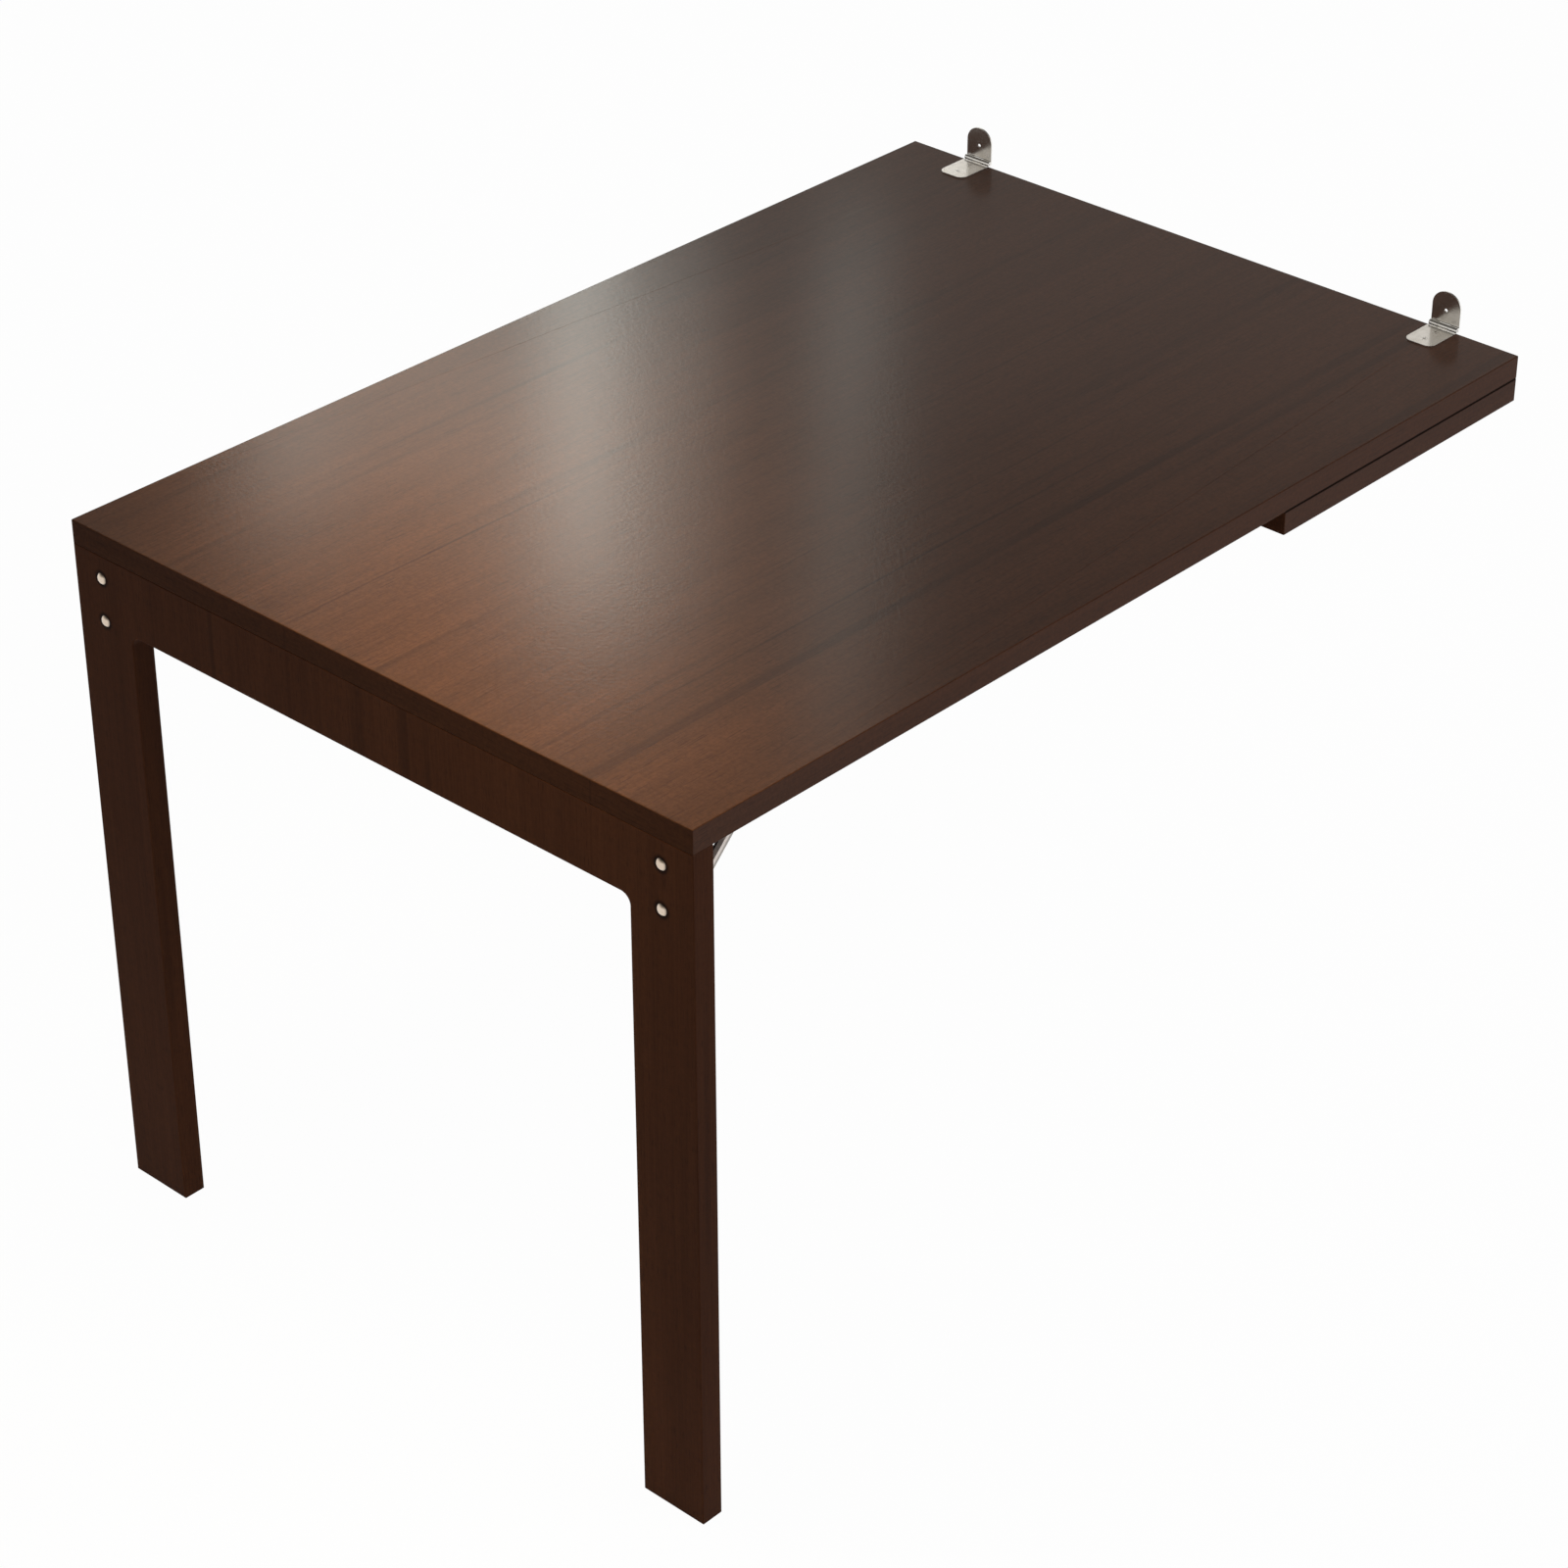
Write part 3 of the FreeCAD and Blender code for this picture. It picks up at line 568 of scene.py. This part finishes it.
def makeFloor(look):
    bpy.ops.mesh.primitive_plane_add(size=look["size"], location=(0.0, 0.0, 0.0))
    floor = bpy.context.object
    floor.name = "studioFloor"
    material = bpy.data.materials.new("studioFloor")
    tree = emptyTree(material)
    diffuse = addNode(tree, "ShaderNodeBsdfDiffuse", {"Color": look["color"]})
    glow = addNode(tree, "ShaderNodeEmission", {"Color": look["glow"], "Strength": 1.0})
    share = times(tree, seenShare(tree), look["glowShare"])
    mixed = addNode(tree, "ShaderNodeMixShader", {0: share, 1: diffuse.outputs[0], 2: glow.outputs[0]})
    addNode(tree, "ShaderNodeOutputMaterial", {"Surface": mixed.outputs[0]})
    floor.data.materials.append(material)


worldLook = {
    "horizon": (1.0, 1.0, 1.0, 1.0), "walls": (0.44, 0.42, 0.39, 1.0),
    "overhead": (0.10, 0.096, 0.088, 1.0), "wallHeights": (0.10, 0.34), "ceilingHeights": (0.46, 0.56),
    "fillColor": (1.0, 0.98, 0.96, 1.0), "fillStrength": 0.30}


def makeWorld(look):
    world = bpy.data.worlds.new("studioWorld")
    bpy.context.scene.world = world
    tree = emptyTree(world)
    height = axesOf(tree, addNode(tree, "ShaderNodeTexCoord").outputs["Generated"])["Z"]
    color = mixColors(tree, remap(tree, height, *look["wallHeights"]), look["horizon"], look["walls"])
    color = mixColors(tree, remap(tree, height, *look["ceilingHeights"]), color, look["overhead"])
    seen = addNode(tree, "ShaderNodeBackground", {"Color": color, "Strength": 1.0})
    fill = addNode(tree, "ShaderNodeBackground", {
        "Color": look["fillColor"], "Strength": look["fillStrength"]})
    mixed = addNode(tree, "ShaderNodeMixShader", {
        0: seenShare(tree), 1: fill.outputs[0], 2: seen.outputs[0]})
    addNode(tree, "ShaderNodeOutputWorld", {"Surface": mixed.outputs[0]})


# lamps: places and sizes in metres, spread and roll in degrees, power in watts

def aimAt(thing, place, target):
    thing.location = place
    offset = [target[axis] - place[axis] for axis in range(3)]
    distance = math.hypot(offset[0], offset[1])
    turn = math.atan2(-offset[0], offset[1]) if distance > 0.0 else 0.0  # straight down has no turn
    thing.rotation_euler = (math.atan2(distance, -offset[2]), 0.0, turn)


def makeLamp(name, look):
    data = bpy.data.lights.new(name, "AREA")
    data.shape = "RECTANGLE"
    data.size, data.size_y = look["size"]
    data.energy = look["power"]
    data.color = look["color"]
    data.spread = math.radians(look["spread"])
    lamp = bpy.data.objects.new(name, data)
    bpy.context.scene.collection.objects.link(lamp)
    aimAt(lamp, look["place"], look["target"])
    lamp.rotation_euler.rotate_axis("Z", math.radians(look["roll"]))
    lamp.visible_camera = False
    lamp.visible_glossy = look["mirrored"]


poolLook = {"spread": 80.0, "roll": 0.0, "color": (1.0, 0.94, 0.55), "mirrored": False}
paneLook = {"target": (-0.1, -0.2, 0.75), "spread": 180.0, "roll": 0.0, "color": (0.96, 1.0, 0.93),
            "mirrored": True}
lampLooks = {
    "readingPool": dict(poolLook, place=(-0.05, -0.45, 1.31), target=(-0.05, -0.45, 0.75),
                        size=(1.00, 0.14), roll=137.7, power=2.85),
    "sideFill": {"place": (2.3, 0.5, 2.5), "target": (0.1, 0.1, 0.7), "size": (1.4, 1.4), "roll": 0.0,
                 "spread": 180.0, "power": 27.0, "color": (1.0, 0.97, 0.95), "mirrored": False},
    "brightPane": dict(paneLook, place=(-3.09, 2.68, 2.74), size=(0.16, 0.88), power=4.5),
    "softPane": dict(paneLook, place=(-3.27, 2.31, 2.59), size=(0.53, 0.52), power=3.4),
    "narrowPane": dict(paneLook, place=(-2.48, 2.82, 2.85), size=(0.12, 1.10), power=1.2),
    "palePane": dict(paneLook, place=(-2.62, 2.43, 2.58), size=(0.22, 0.80), power=1.2),
    "nearPane": dict(paneLook, place=(-2.25, 1.82, 2.5), size=(0.34, 0.16), power=0.32),
    "leftPane": dict(paneLook, place=(-2.95, 1.77, 2.5), size=(0.22, 0.16), power=0.42),
    "cornerPool": dict(poolLook, place=(0.34, -0.53, 1.05), target=(0.34, -0.53, 0.75),
                       size=(0.16, 0.16), power=0.09),
    "hingeCard": dict(paneLook, place=(-1.05, 2.25, 1.69), target=(0.0, 0.57, 0.757), size=(2.2, 0.55),
                      power=1.05, color=(1.0, 0.96, 0.91))}

# place and clip in metres, turn in degrees, lens and sensor in millimetres
cameraLook = {"place": (2.43907, -2.70161, 2.62213), "turn": (58.1095, 0.0902, 42.5853), "lens": 96.92,
              "sensorWidth": 36.0, "farClip": 200.0}


def makeCamera(look):
    data = bpy.data.cameras.new("studioCamera")
    data.lens = look["lens"]
    data.sensor_width = look["sensorWidth"]
    data.clip_end = look["farClip"]
    camera = bpy.data.objects.new("studioCamera", data)
    bpy.context.scene.collection.objects.link(camera)
    camera.location = look["place"]
    camera.rotation_euler = [math.radians(angle) for angle in look["turn"]]
    bpy.context.scene.camera = camera


makeFloor(floorLook)
makeWorld(worldLook)
for lampName, lampLook in lampLooks.items():
    makeLamp(lampName, lampLook)
makeCamera(cameraLook)
bpy.context.scene.view_settings.view_transform = "Standard"
print("stage, lamps and camera set")
